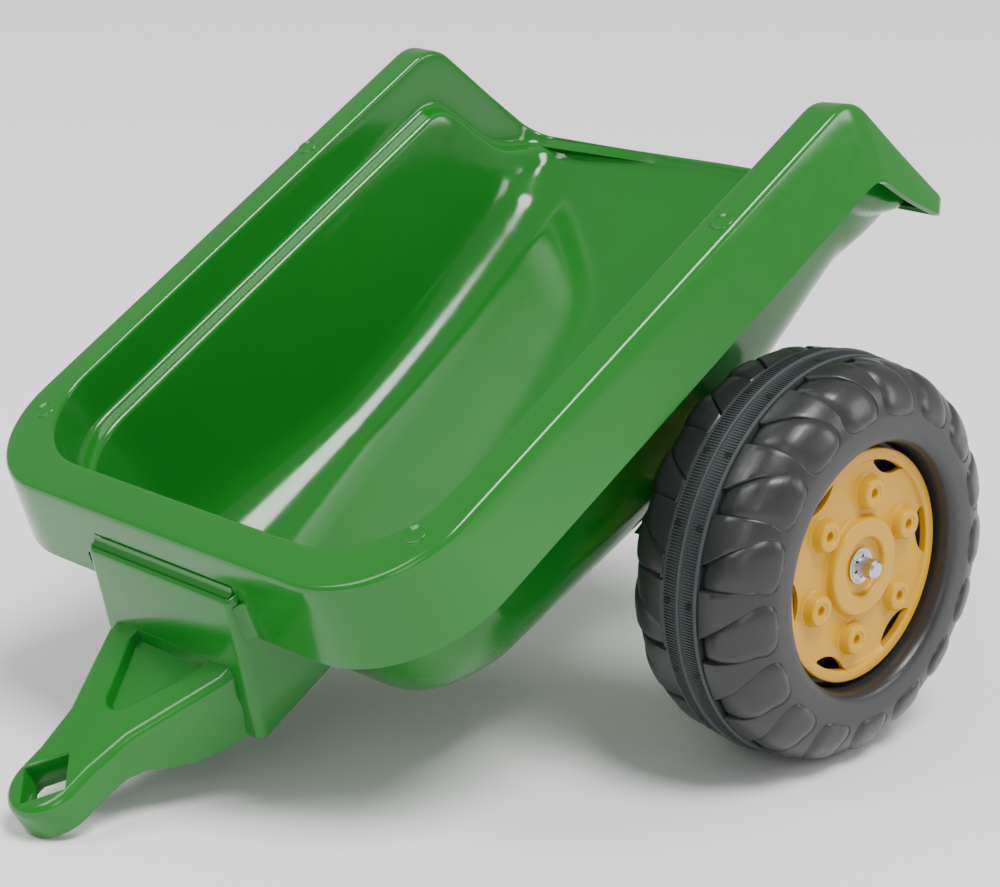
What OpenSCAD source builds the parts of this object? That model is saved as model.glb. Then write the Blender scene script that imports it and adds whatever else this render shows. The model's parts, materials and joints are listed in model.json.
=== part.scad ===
// Single-axle trailer for a child's pedal tractor: a tub moulded in one piece with its
// drawbar, and two wheels, each of two tyre halves on a soft tread band.
// Frame: millimetres, +Z up, -Y towards the tow eye. The trailer stands unhitched, on its
// wheels and on the tip of the tow eye. The origin is on the floor, under the middle.

/* [Tub] */
// Height of the rim above the axle
rim_h = 164; // [150:1:190]
// Width of the opening inside the rim
opening_w = 288; // [240:1:300]
// Reach of the opening ahead of the axle
opening_front = 195; // [165:1:220]
// Where the level rim ends, behind the axle
ear_back = 151; // [120:1:165]
// Reach of the pouring lip behind the axle
lip_back = 208; // [185:1:240]
// Height of the pouring lip above the axle
lip_h = 60; // [50:1:80]
// Height of the tub's underside above the axle
floor_h = 22; // [18:1:34]
// Wall thickness of the moulding
wall = 3; // [2:0.1:3.5]

/* [Rim] */
// Width of the flange along the sides
flange_side = 20; // [14:1:26]
// Width of the flange along the front
flange_front = 23; // [16:1:30]
// Depth of the skirt that hangs from the flange
skirt_h = 44; // [30:1:50]
// How far the skirt leans outwards
skirt_flare = 8; // [4:0.5:12]

/* [Drawbar] */
// Reach of the tow eye's centre ahead of the axle
eye_front = 331; // [300:1:380]
// Height of the drawbar's top above the axle
eye_h = 106.5; // [90:0.5:112]
// Thickness of the tow eye
eye_t = 19; // [14:0.5:26]
// Outer radius of the tow eye
eye_r = 21.5; // [20:0.5:28]
// Side of the square coupling hole
hole_side = 23.5; // [18:0.5:25]
// Width of the nose plate
nose_w = 116; // [90:1:130]

/* [Wheels] */
// Diameter over the tread
wheel_d = 210; // [190:1:220]
// Width over both tyre halves
wheel_w = 85; // [76:1:92]
// Distance between the wheels' middle planes
track = 384; // [380:1:410]
// Width of the tread band
band_w = 21.4; // [16:0.2:26]
// Number of lugs on each tyre half
lugs = 17; // [14:1:20]
// Radius of the yellow wheel disc
rim_r = 60.3; // [54:0.1:62]
// Radius of the circle that the six bosses lie on
boss_circle_r = 37.6; // [35:0.1:40]

/* [Axle] */
// Diameter of the axle
axle_d = 10; // [8:0.5:12]
// How far the axle stands out past each push-on washer
axle_stub = 9.4; // [6:0.2:11]
// Radial clearance where a wheel turns on the axle
running_gap = 0.06; // [0.03:0.01:0.1]

/* [Hidden] */

green = "#2f8a35";
black = "#3b3b3d";
band_black = "#2c3032";
yellow = "#f5b800";
steel = "#b9babf";

$fn = 64;
eps = 0.01;
// Gap between pieces that move past one another
free_gap = 0.3;

// Wheel, measured along the axle from the wheel's middle plane
wheel_r = wheel_d / 2;
half_w = wheel_w / 2;
tyre_wall = 3;
band_t = 6;
band_seat_r = wheel_r - 1.5 - band_t;
tread_r = wheel_r - 2.5;
tyre_mouth_r = rim_r + 3.5;
lip_s = half_w - 11.6;
disc_s = lip_s - 2.6;
disc_t = 2.6;
boss_s = lip_s + 3.3;
hub_disc_s = lip_s + 2.4;
recess_s = lip_s - 1.4;
web_s = disc_s - 9;
web_t = 3;
boss_r = 7.8;
boss_hole_r = 2.6;
peg_r = 4.2;
hub_disc_r = 25;
recess_r = 14.6;
hub_tube_r = 11;
slot_r = rim_r - 6;

// Axle and what runs on it
axle_r = axle_d / 2;
bush_bore_r = axle_r + running_gap;
bush_r = axle_r + 1.6;
bush_end_s = recess_s;
push_washer_t = 1.2;
push_washer_r = axle_r + 4.4;
thrust_washer_t = 1.5;
thrust_washer_r = axle_r + 5;
spacer_r = axle_r + 3;
axle_len = track + 2 * (bush_end_s + free_gap + push_washer_t + axle_stub);
leg_out = 115;
leg_t = 6;
leg_in = 66;
leg_boss_r = axle_r + 7;

// Tub, measured from the axle with the drawbar level
open_half = opening_w / 2;
open_corner_r = 55;
rim_half = open_half + flange_side;
rim_front = opening_front + flange_front;
rim_corner_r = 60;
skirt_low = rim_h - skirt_h;
step_h = rim_h - 28;
step_half = open_half - 11;
side_draft = 12;
ear_dir = [lip_back - ear_back, lip_h - rim_h] / norm([lip_back - ear_back, lip_h - rim_h]);
ear_in = [ear_dir[1], -ear_dir[0]];
floor_fillet = 30;
nose_fillet = 45;
front_draft = 8;
floor_flat_y = -60;
skirt_back_low = lip_h - 6;

// Nose and drawbar
nose_half = nose_w / 2;
nose_top = rim_h - 20;
nose_low = eye_h - 37;
nose_top_y = -rim_front - 10;
nose_low_y = nose_top_y - 24;
tongue_half = nose_half - 10;
eye_y = -eye_front;
neck_y = eye_y + 36;
neck_half = eye_r + 3.5;
pocket_depth = 5;
pocket_tip_y = nose_low_y - 20;
pocket_tip_r = 10;
pocket_half = 27;

// Standing pitch: the tip of the eye and both wheels rest on the floor
eye_tip_y = eye_front + eye_r;
eye_low = eye_h - eye_t;
park_pitch = atan2(eye_low, eye_tip_y) + asin(wheel_r / norm([eye_tip_y, eye_low]));
y_front = -eye_tip_y * cos(park_pitch) - eye_h * sin(park_pitch);
y_back = lip_back * cos(park_pitch) - (lip_h - 2 * wall) * sin(park_pitch);
y_shift = -(y_front + y_back) / 2;

// Points of an arc in the plane of an outline
function arc(c, r, a0, a1, n) =
    [for (i = [0:n]) c + r * [cos(a0 + (a1 - a0) * i / n), sin(a0 + (a1 - a0) * i / n)]];

// Places what is drawn in the level towing frame (axle at the origin)
module parked() {
    translate([0, y_shift, wheel_r]) rotate([park_pitch, 0, 0]) children();
}

// Extrudes an outline drawn as [y, z] across the trailer, from x0 to x1
module across(x0, x1) {
    translate([x0, 0, 0]) rotate([90, 0, 90]) linear_extrude(x1 - x0) children();
}

// Extrudes an outline drawn as [x, z] along the trailer, from y0 to y1
module along(y0, y1) {
    translate([0, y1, 0]) rotate([90, 0, 0]) linear_extrude(y1 - y0) children();
}

// Side outline of the basin, drawn inwards by the inset t
module basin_side(t) {
    front = -opening_front - wall + t;
    low = floor_h + t;
    r = nose_fillet - t;
    span = lip_back - floor_flat_y;
    rise = lip_h - wall - floor_h;
    floor_back = [for (i = [0:12]) [floor_flat_y + span * i / 12, low + rise * pow(i / 12, 2)]];
    top = t > 0 ? [[lip_back + 20, lip_h + 20], [lip_back + 20, rim_h + 20], [front, rim_h + 20]]
                : [[lip_back, lip_h], [ear_back, rim_h], [front, rim_h]];
    end = t > 0 ? [[lip_back + 20, low + rise + 5]] : [];
    polygon(concat([[front, rim_h]],
                   arc([front + front_draft + r, low + r], r, 180, 270, 8),
                   floor_back, end, top));
}

// Cross outline of the basin below its step: drafted wall, fillet and floor
module basin_cross(t) {
    w = step_half + wall - t;
    low = floor_h + t;
    r = floor_fillet - t;
    w_low = w - side_draft;
    half = concat([[w, rim_h + 20], [w, step_h]],
                  arc([w_low - r, low + r], r, 0, -90, 8));
    polygon(concat(half, [for (i = [len(half) - 1:-1:0]) [-half[i][0], half[i][1]]]));
}

// Side outline of the wider band above the step, which follows the rim down the ears
module step_side(t) {
    drop = rim_h - step_h + wall - t;
    ear = [ear_back, rim_h] + drop * ear_in;
    lip = [lip_back, lip_h] + drop * ear_in;
    bend = ear + (ear[1] - rim_h + drop) / ear_dir[1] * -ear_dir;
    polygon([[-rim_front, rim_h - drop], bend, lip, lip + 60 * ear_dir,
             [lip_back + 60, lip_h], [lip_back + 60, rim_h + 20], [-rim_front, rim_h + 20]]);
}

// Plan outline with round front corners
module plan(half, front, back, r) {
    translate([-half, -front + r]) square([2 * half, back + front - r]);
    translate([-half + r, -front]) square([2 * (half - r), r + eps]);
    for (x = [-1, 1]) translate([x * (half - r), -front + r]) circle(r);
}

// Tub without its rim: the outer shape at t = 0, the cavity at t = wall
module basin(t) {
    back = lip_back + (t > 0 ? 25 : 0);
    intersection() {
        across(-200, 200) basin_side(t);
        union() {
            intersection() {
                along(-300, lip_back + 30) basin_cross(t);
                linear_extrude(rim_h + 20)
                    plan(step_half + wall - t, opening_front - 4 + wall - t, back, open_corner_r - t);
            }
            intersection() {
                across(-200, 200) step_side(t);
                linear_extrude(rim_h + 20)
                    plan(open_half + wall - t, opening_front + wall - t, back, open_corner_r - t);
            }
        }
    }
}

// Section of the flange and skirt, with the rim's crease at [0, rim_h]
module rim_section(flange) {
    polygon([[0, rim_h], [skirt_flare, skirt_low], [skirt_flare + 2, skirt_back_low],
             [skirt_flare + 2 - wall, skirt_back_low], [skirt_flare - wall, skirt_low],
             [-wall, rim_h - wall], [-flange, rim_h - wall], [-flange, rim_h]]);
}

// Side view that the rim is cut to: level, then down the ears to the pouring lip
module rim_mask() {
    polygon([[-rim_front - 40, rim_h], [ear_back, rim_h], [lip_back, lip_h],
             [lip_back - 5, skirt_back_low], [lip_back - 21, lip_h + 8],
             [ear_back + 6, skirt_low - 8], [ear_back - 14, skirt_low - 4],
             [ear_back - 60, skirt_low], [-rim_front - 40, skirt_low]]);
}

module rim() {
    intersection() {
        across(-220, 220) rim_mask();
        union() {
            for (side = [-1, 1]) {
                along(-rim_front + rim_corner_r, lip_back + 5)
                    scale([side, 1])
                        translate([rim_half, 0]) rim_section(flange_side + 6);
                translate([side * (rim_half - rim_corner_r), -rim_front + rim_corner_r, 0])
                    rotate([0, 0, side > 0 ? -90 : 180])
                        rotate_extrude(angle = 90)
                            translate([rim_corner_r, 0]) rim_section(flange_side + 10);
            }
            translate([-rim_half + rim_corner_r, 0, 0])
                rotate([90, 0, -90])
                    mirror([0, 0, 1])
                        linear_extrude(2 * (rim_half - rim_corner_r))
                            translate([rim_front, 0]) rim_section(flange_front + 6);
            // The flange carried on down the ears to the lip
            across(-rim_half - 2, rim_half + 2)
                polygon([[ear_back, rim_h], [lip_back, lip_h],
                         [lip_back - wall * 1.1, lip_h - wall], [ear_back - wall, rim_h - wall]]);
            // The pouring lip, turned down
            across(-rim_half - 2, rim_half + 2)
                polygon([[lip_back, lip_h], [lip_back - 4, lip_h - 2 * wall],
                         [lip_back - 4 - wall, lip_h - 2 * wall], [lip_back - 8, lip_h]]);
        }
    }
}

// Opening cut through the flange, level and down the ears
module rim_opening() {
    translate([0, 0, rim_h - 12])
        linear_extrude(30)
            plan(open_half, opening_front, lip_back + 25, open_corner_r);
}

// Nose: the box under the front flange that the drawbar grows from
module nose_side(t) {
    polygon([[-opening_front + 3, nose_top - t], [nose_top_y + t, nose_top - t],
             [nose_low_y + t, nose_low - (t > 0 ? 5 : 0)],
             [-opening_front + 3, nose_low - (t > 0 ? 5 : 0)]]);
}

module tongue_plan(t) {
    polygon([[-tongue_half - 1 + t, nose_low_y + 10], [-tongue_half + t, nose_low_y + 5],
             [-neck_half + t, neck_y], [-eye_r + t, eye_y + 12], [eye_r - t, eye_y + 12],
             [neck_half - t, neck_y], [tongue_half - t, nose_low_y + 5],
             [tongue_half + 1 - t, nose_low_y + 10]]);
}

module tongue_side() {
    polygon([[nose_low_y + 12, nose_low], [nose_low_y - 10, nose_low], [neck_y + 12, nose_low + 4],
             [neck_y - 6, eye_low], [-eye_tip_y, eye_low], [-eye_tip_y, eye_h],
             [nose_low_y + 12, eye_h]]);
}

module pocket(grow) {
    linear_extrude(pocket_depth + grow)
        polygon(concat(arc([0, pocket_tip_y + pocket_tip_r], pocket_tip_r + grow, 200, 340, 10),
                       [[pocket_half + grow, nose_top_y - 8], [-pocket_half - grow, nose_top_y - 8]]));
}

module drawbar() {
    difference() {
        union() {
            across(-nose_half, nose_half) nose_side(0);
            intersection() {
                across(-nose_half, nose_half) tongue_side();
                linear_extrude(eye_h) union() {
                    tongue_plan(0);
                    translate([0, eye_y]) circle(eye_r);
                }
            }
        }
        difference() {
            union() {
                across(-nose_half + wall, nose_half - wall) nose_side(wall);
                linear_extrude(eye_h - wall)
                    intersection() {
                        tongue_plan(wall);
                        translate([-nose_half, eye_y + eye_r + 4]) square([nose_w, 200]);
                    }
            }
            translate([0, 0, eye_h - pocket_depth - wall]) pocket(wall);
            // Foot of the nose plate across the top of the drawbar
            across(-tongue_half, tongue_half)
                polygon([[nose_low_y - 2, eye_h - wall], [nose_low_y + 14, eye_h - wall],
                         [nose_low_y + 14, eye_h], [nose_low_y - 2, eye_h]]);
        }
        translate([0, 0, eye_h - pocket_depth]) pocket(0);
        translate([0, eye_y, eye_low - 5])
            rotate(45) linear_extrude(eye_t + 10) square(hole_side, center = true);
    }
}

// Webs under the floor, each with a boss that the axle passes through
module axle_leg(x) {
    across(x - leg_t / 2, x + leg_t / 2) union() {
        circle(leg_boss_r);
        polygon([[-leg_boss_r, 0], [leg_boss_r, 0], [leg_boss_r + 26, floor_h + 8],
                 [-leg_boss_r - 26, floor_h + 4]]);
    }
}

module tub_and_drawbar() {
    color(green) parked() difference() {
        union() {
            basin(0);
            rim();
            drawbar();
            for (side = [-1, 1]) {
                axle_leg(side * (leg_out - leg_t / 2));
                axle_leg(side * leg_in);
            }
        }
        basin(wall);
        rim_opening();
        rotate([0, 90, 0]) cylinder(r = axle_r + 0.05, h = 2 * leg_out + 10, center = true);
    }
}

// Draws a piece in a wheel's own frame, whose Z runs outwards along the axle
module at_wheel(side, face) {
    translate([side * track / 2, y_shift, wheel_r])
        rotate([0, 90 * side * face, 0])
            rotate(side * face > 0 ? 180 : 0) children();
}

module axle_piece(x0, x1, r_out, r_in) {
    translate([x0, y_shift, wheel_r])
        rotate([0, 90, 0])
            difference() {
                cylinder(r = r_out, h = x1 - x0);
                if (r_in > 0)
                    translate([0, 0, -1]) cylinder(r = r_in, h = x1 - x0 + 2);
            }
}

module axle() {
    color(steel) axle_piece(-axle_len / 2, axle_len / 2, axle_r, 0);
}

// Mirrors a piece that is drawn for the right-hand side
module on_side(side) {
    if (side > 0) children();
    else mirror([1, 0, 0]) children();
}

module axle_spacer(side) {
    x1 = track / 2 - bush_end_s - free_gap - thrust_washer_t;
    color(black) on_side(side) axle_piece(leg_out, x1, spacer_r, axle_r + 0.1);
}

module thrust_washer(side) {
    x1 = track / 2 - bush_end_s - free_gap;
    color(steel) on_side(side) axle_piece(x1 - thrust_washer_t, x1, thrust_washer_r, axle_r + 0.1);
}

module push_washer(side) {
    x0 = track / 2 + bush_end_s + free_gap;
    color(steel) on_side(side) axle_piece(x0, x0 + push_washer_t, push_washer_r, axle_r);
}

module hub_bush(side) {
    x = track / 2;
    color("#e8e6df") on_side(side) axle_piece(x - bush_end_s, x + bush_end_s, bush_r, bush_bore_r);
}

// Half tyre: tread, shoulder, side wall, mouth, web and hub tube, as [radius, distance]
function tyre_outline() =
    concat([[band_seat_r, eps * 5], [band_seat_r, band_w / 2 + eps * 5],
            [tread_r - 1, band_w / 2 + eps * 5], [tread_r, band_w / 2 + 3], [tread_r - 0.5, half_w - 20]],
           arc([tread_r - 18.5, half_w - 20], 18, 10, 80, 7),
           [[tread_r - 24, half_w - 0.2], [tyre_mouth_r + 14, half_w]],
           arc([tyre_mouth_r + 12, half_w - 12], 12, 100, 180, 6),
           [[tyre_mouth_r, web_s]],
           [[hub_tube_r, web_s], [hub_tube_r, recess_s - disc_t - 0.1],
            [bush_r, recess_s - disc_t - 0.1], [bush_r, eps * 5], [hub_tube_r, eps * 5],
            [hub_tube_r, web_s - web_t], [tyre_mouth_r + tyre_wall, web_s - web_t],
            [tyre_mouth_r + tyre_wall, half_w - 12]],
           arc([tyre_mouth_r + 12, half_w - 12], 12 - tyre_wall, 180, 100, 6),
           [[tread_r - 26, half_w - tyre_wall - 1]],
           arc([tread_r - 26, half_w - 20], 16 - tyre_wall, 80, 0, 6),
           [[band_seat_r - tyre_wall, band_w / 2], [band_seat_r - tyre_wall, eps * 5]]);

module tyre_half(side, face) {
    color(black) at_wheel(side, face) difference() {
        rotate_extrude($fn = 96) polygon(tyre_outline());
        // Valleys between the lugs, deepening from the band to the shoulder
        for (i = [0:lugs - 1])
            rotate(360 * (i + (face > 0 ? 0 : 0.5)) / lugs)
                translate([tread_r + 6.6, 0, band_w / 2 - 4])
                    rotate([0, -12, 0]) cylinder(r = 7.2, h = 50, $fn = 24);
        // Holes that take the pegs of the wheel disc
        for (i = [0:5])
            rotate(60 * i)
                translate([boss_circle_r, 0, 0]) cylinder(r = peg_r + 0.05, h = web_s + 5);
    }
}

module tread_band(side) {
    h = band_w / 2;
    color(band_black) at_wheel(side, 1)
        rotate_extrude($fn = 96)
            polygon([[band_seat_r, -h], [band_seat_r + band_t - 0.6, -h], [band_seat_r + band_t, -h + 1],
                     [band_seat_r + band_t, -1.6], [wheel_r, -0.8], [wheel_r, 0.8],
                     [band_seat_r + band_t, 1.6], [band_seat_r + band_t, h - 1],
                     [band_seat_r + band_t - 0.6, h], [band_seat_r, h]]);
}

// Lens-shaped slot at the edge of the wheel disc
module lens_slot() {
    intersection() {
        circle(slot_r);
        translate([slot_r + 15, 0]) circle(20);
    }
}

module wheel_disc(side, face) {
    color(yellow) at_wheel(side, face) difference() {
        union() {
            rotate_extrude($fn = 96)
                polygon([[bush_r, recess_s - disc_t], [hub_disc_r - 3, recess_s - disc_t],
                         [hub_disc_r - 2, disc_s - disc_t], [rim_r - 2.4, disc_s - disc_t],
                         [rim_r - 2.4, web_s + 0.1], [rim_r, web_s + 0.1], [rim_r, lip_s],
                         [rim_r - 4.8, lip_s], [rim_r - 4.8, disc_s], [hub_disc_r, disc_s],
                         [hub_disc_r - 0.6, hub_disc_s], [recess_r, hub_disc_s],
                         [recess_r - 0.4, recess_s], [bush_r, recess_s]]);
            for (i = [0:5])
                rotate(60 * i) translate([boss_circle_r, 0, 0]) {
                    translate([0, 0, disc_s - disc_t]) cylinder(r = boss_r, h = boss_s - disc_s + disc_t);
                    translate([0, 0, web_s - web_t - 2]) cylinder(r = peg_r, h = disc_s - web_s + web_t);
                }
        }
        for (i = [0:5]) {
            rotate(60 * i)
                translate([boss_circle_r, 0, web_s - web_t - 3]) cylinder(r = boss_hole_r, h = 40);
            rotate(60 * i + 30)
                translate([0, 0, disc_s - disc_t - 1])
                    linear_extrude(disc_t + 2) lens_slot();
        }
    }
}

module axle_spacer_left() { axle_spacer(-1); }
module axle_spacer_right() { axle_spacer(1); }
module thrust_washer_left() { thrust_washer(-1); }
module thrust_washer_right() { thrust_washer(1); }
module push_washer_left() { push_washer(-1); }
module push_washer_right() { push_washer(1); }
module tyre_outer_left() { tyre_half(-1, 1); }
module tyre_outer_right() { tyre_half(1, 1); }
module tyre_inner_left() { tyre_half(-1, -1); }
module tyre_inner_right() { tyre_half(1, -1); }
module tread_band_left() { tread_band(-1); }
module tread_band_right() { tread_band(1); }
module wheel_disc_outer_left() { wheel_disc(-1, 1); }
module wheel_disc_outer_right() { wheel_disc(1, 1); }
module wheel_disc_inner_left() { wheel_disc(-1, -1); }
module wheel_disc_inner_right() { wheel_disc(1, -1); }
module hub_bush_left() { hub_bush(-1); }
module hub_bush_right() { hub_bush(1); }

tub_and_drawbar();
axle();
axle_spacer_left();
axle_spacer_right();
thrust_washer_left();
thrust_washer_right();
push_washer_left();
push_washer_right();
tyre_outer_left();
tyre_outer_right();
tyre_inner_left();
tyre_inner_right();
tread_band_left();
tread_band_right();
wheel_disc_outer_left();
wheel_disc_outer_right();
wheel_disc_inner_left();
wheel_disc_inner_right();
hub_bush_left();
hub_bush_right();
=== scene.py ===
"""Looks of a child's pedal tractor trailer: a glossy green tub moulded in one piece with its
drawbar, on two lugged plastic wheels with yellow discs. Every piece is built here, in place,
around the fixed CAD frame."""

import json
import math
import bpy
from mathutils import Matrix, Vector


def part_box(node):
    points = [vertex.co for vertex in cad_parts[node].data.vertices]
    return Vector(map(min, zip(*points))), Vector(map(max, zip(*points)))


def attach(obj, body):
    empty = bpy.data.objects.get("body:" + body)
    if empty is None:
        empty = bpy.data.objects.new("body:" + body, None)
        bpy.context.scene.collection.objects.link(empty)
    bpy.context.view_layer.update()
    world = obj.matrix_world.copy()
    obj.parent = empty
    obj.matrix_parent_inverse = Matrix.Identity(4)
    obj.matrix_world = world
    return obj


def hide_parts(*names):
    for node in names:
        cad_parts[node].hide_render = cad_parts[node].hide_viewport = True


bl_info = {
    "name": "Pedal Tractor Trailer",
    "version": (1, 0, 0),
    "blender": (4, 5, 0),
    "location": "3D View > Sidebar > Trailer",
    "description": "Builds a pedal tractor trailer's tub, wheels and axle, with sizes and colours to change",
    "category": "Add Mesh",
}

import bmesh
import bpy
import numpy as np
from mathutils import Matrix, Vector

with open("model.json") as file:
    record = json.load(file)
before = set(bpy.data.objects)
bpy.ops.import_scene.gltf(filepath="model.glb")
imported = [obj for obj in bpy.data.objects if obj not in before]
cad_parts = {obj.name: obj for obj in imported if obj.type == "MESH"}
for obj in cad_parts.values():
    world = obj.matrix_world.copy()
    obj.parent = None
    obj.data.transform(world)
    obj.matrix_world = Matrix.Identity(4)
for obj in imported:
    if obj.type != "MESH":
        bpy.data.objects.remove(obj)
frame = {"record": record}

MM = 0.001
SIDES = (("left", -1), ("right", 1))
FACES = (("outer", 1), ("inner", -1))

# ---------------------------------------------------------------- places in the frame


def axle_centre():
    low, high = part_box("axle")
    return (low + high) / 2


def parked():
    """Carries a point from the level towing frame (axle at the origin, mm) to where the trailer stands."""
    eye = next(m for m in frame["record"]["mounts"] if m["name"] == "tow_eye")
    pitch = math.atan2(-eye["axis"][1], eye["axis"][2])
    return Matrix.Translation(axle_centre()) @ Matrix.Rotation(pitch, 4, "X") @ Matrix.Scale(MM, 4)


def wheel_centre(side):
    """Middle of the wheel on that side, in mm from the row's origin."""
    low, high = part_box("tread_band_" + side)
    return (low + high) / 2 / MM


# ---------------------------------------------------------------- meshes


def mesh_from(name, verts, faces, face_out=False):
    """A plain mesh, with doubles merged, and normals turned outwards where it is closed."""
    mesh = bpy.data.meshes.new(name)
    mesh.from_pydata([tuple(v) for v in verts], [], faces)
    bm = bmesh.new()
    bm.from_mesh(mesh)
    bmesh.ops.remove_doubles(bm, verts=bm.verts, dist=1e-4)
    if face_out:
        bmesh.ops.recalc_face_normals(bm, faces=bm.faces)
    bm.to_mesh(mesh)
    bm.free()
    return mesh


def joined(name, parts):
    """One mesh out of several. Each part is (mesh, material number)."""
    bm = bmesh.new()
    for mesh, number in parts:
        start = len(bm.faces)
        bm.from_mesh(mesh)
        bm.faces.ensure_lookup_table()
        for face in bm.faces[start:]:
            face.material_index = number
    out = bpy.data.meshes.new(name)
    bm.to_mesh(out)
    bm.free()
    return out


def revolved(name, profile, turns=96, closed=True):
    """A piece turned about the axle. The profile is (distance along the axle, radius) in mm. It is a
    ring of its own where closed is set, and otherwise each end is capped."""
    rows = np.array(profile, float)
    angle = np.arange(turns) * 2 * math.pi / turns
    s = np.repeat(rows[:, :1], turns, 1)
    r = np.repeat(rows[:, 1:], turns, 1)
    grid = np.stack([s, r * np.sin(angle), r * np.cos(angle)], -1)
    faces = ring_faces(len(rows), turns, closed)
    if not closed:
        faces += [list(range(turns)), [(len(rows) - 1) * turns + i for i in range(turns)]]
    return mesh_from(name, grid.reshape(-1, 3), faces, face_out=True)


def ring_faces(rows, turns, closed):
    """Quads of a grid that closes round the axle, and along its profile too where closed is set."""
    faces = []
    for a in range(rows if closed else rows - 1):
        b = (a + 1) % rows
        for i in range(turns):
            j = (i + 1) % turns
            faces.append([a * turns + i, b * turns + i, b * turns + j, a * turns + j])
    return faces


def prism(name, outline, low, high, along):
    """An outline carried straight across: drawn as (y, z) and carried along x, or as (x, y) along z."""
    place = {"x": lambda p, t: (t, p[0], p[1]), "z": lambda p, t: (p[0], p[1], t)}[along]
    n = len(outline)
    verts = [place(p, t) for t in (low, high) for p in outline]
    faces = [list(range(n)), list(range(n, 2 * n))]
    faces += [[i, (i + 1) % n, n + (i + 1) % n, n + i] for i in range(n)]
    return mesh_from(name, verts, faces, face_out=True)


def arc(centre, radius, start, end, steps):
    """Points of an arc, with its angles in degrees."""
    turn = [math.radians(start + (end - start) * i / steps) for i in range(steps + 1)]
    return [(centre[0] + radius * math.cos(t), centre[1] + radius * math.sin(t)) for t in turn]


def placed(name, mesh):
    """A mesh shown as an object at the origin."""
    obj = bpy.data.objects.new(name, mesh)
    bpy.context.scene.collection.objects.link(obj)
    return obj


def settled(obj):
    """The object's mesh with its modifiers worked out. The object itself is taken away."""
    view = bpy.context.evaluated_depsgraph_get()
    mesh = bpy.data.meshes.new_from_object(obj.evaluated_get(view), depsgraph=view)
    bpy.data.objects.remove(obj)
    return mesh


def cut(mesh, tool, how="DIFFERENCE"):
    """The mesh with a tool mesh taken away, added or kept in common."""
    body, other = placed("body", mesh), placed("tool", tool)
    step = body.modifiers.new("cut", "BOOLEAN")
    step.operation, step.solver, step.object = how, "EXACT", other
    out = settled(body)
    bpy.data.objects.remove(other)
    return out


def softened(mesh, width):
    """The mesh with its sharp edges rounded as a mould leaves them."""
    body = placed("body", mesh)
    step = body.modifiers.new("round", "BEVEL")
    step.width, step.segments, step.limit_method = width, 3, "ANGLE"
    step.angle_limit = math.radians(35)
    return settled(body)


def finished(name, mesh, body, cad_node, looks, sharp=32):
    """Shows a finished mesh in place of its CAD node, on the body it moves with. Its faces keep the
    material numbers that they have, and edges steeper than sharp degrees stay crisp."""
    mesh.name = name
    numbers = [face.material_index for face in mesh.polygons]
    mesh.materials.clear()
    for look in looks:
        mesh.materials.append(look)
    mesh.polygons.foreach_set("material_index", numbers)
    mesh.shade_smooth()
    mesh.set_sharp_from_angle(angle=math.radians(sharp))
    obj = placed(name, mesh)
    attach(obj, body)
    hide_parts(cad_node)
    return obj


# ---------------------------------------------------------------- rings of like shapes


def ring_tree():
    """Geometry Nodes: a ring of one shape about the axle. Its inputs are the shape, how many, the first
    one's angle, the middle and the material."""
    if "ring of shapes" in bpy.data.node_groups:
        return bpy.data.node_groups["ring of shapes"]
    tree = bpy.data.node_groups.new("ring of shapes", "GeometryNodeTree")
    for label, kind in (("Geometry", "NodeSocketGeometry"), ("Shape", "NodeSocketObject"),
                        ("Count", "NodeSocketInt"), ("Phase", "NodeSocketFloat"),
                        ("Centre", "NodeSocketVector"), ("Material", "NodeSocketMaterial")):
        tree.interface.new_socket(label, in_out="INPUT", socket_type=kind)
    tree.interface.new_socket("Geometry", in_out="OUTPUT", socket_type="NodeSocketGeometry")
    given, shape = node(tree, "NodeGroupInput"), node(tree, "GeometryNodeObjectInfo")
    points, index = node(tree, "GeometryNodePoints"), node(tree, "GeometryNodeInputIndex")
    share = node(tree, "ShaderNodeMath", operation="DIVIDE", inputs={0: 2 * math.pi})
    turn = node(tree, "ShaderNodeMath", operation="MULTIPLY_ADD")
    angle, spread = node(tree, "ShaderNodeCombineXYZ"), node(tree, "GeometryNodeInstanceOnPoints")
    real, paint = node(tree, "GeometryNodeRealizeInstances"), node(tree, "GeometryNodeSetMaterial")
    out = node(tree, "NodeGroupOutput")
    for a, b in ((given.outputs["Shape"], shape.inputs["Object"]),
                 (given.outputs["Count"], points.inputs["Count"]),
                 (given.outputs["Centre"], points.inputs["Position"]),
                 (given.outputs["Count"], share.inputs[1]),
                 (index.outputs[0], turn.inputs[0]), (share.outputs[0], turn.inputs[1]),
                 (given.outputs["Phase"], turn.inputs[2]), (turn.outputs[0], angle.inputs["X"]),
                 (points.outputs[0], spread.inputs["Points"]),
                 (shape.outputs["Geometry"], spread.inputs["Instance"]),
                 (angle.outputs[0], spread.inputs["Rotation"]),
                 (spread.outputs[0], real.inputs[0]), (real.outputs[0], paint.inputs["Geometry"]),
                 (given.outputs["Material"], paint.inputs["Material"]),
                 (paint.outputs[0], out.inputs[0])):
        tree.links.new(a, b)
    return tree


def ring_of(shape_mesh, count, phase, look):
    """A ring of copies of a shape about the axle, as one mesh. The shape is drawn at the top of the
    ring, and phase turns the whole ring."""
    shape = placed("shape", shape_mesh)
    holder = placed("ring", bpy.data.meshes.new("ring"))
    step = holder.modifiers.new("ring", "NODES")
    step.node_group = ring_tree()
    values = {"Shape": shape, "Count": count, "Phase": phase, "Centre": (0, 0, 0), "Material": look}
    for item in step.node_group.interface.items_tree:
        if item.in_out == "INPUT" and item.name in values:
            step[item.identifier] = values[item.name]
    holder.update_tag()
    mesh = settled(holder)
    bpy.data.objects.remove(shape)
    return mesh


# ---------------------------------------------------------------- materials


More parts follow.
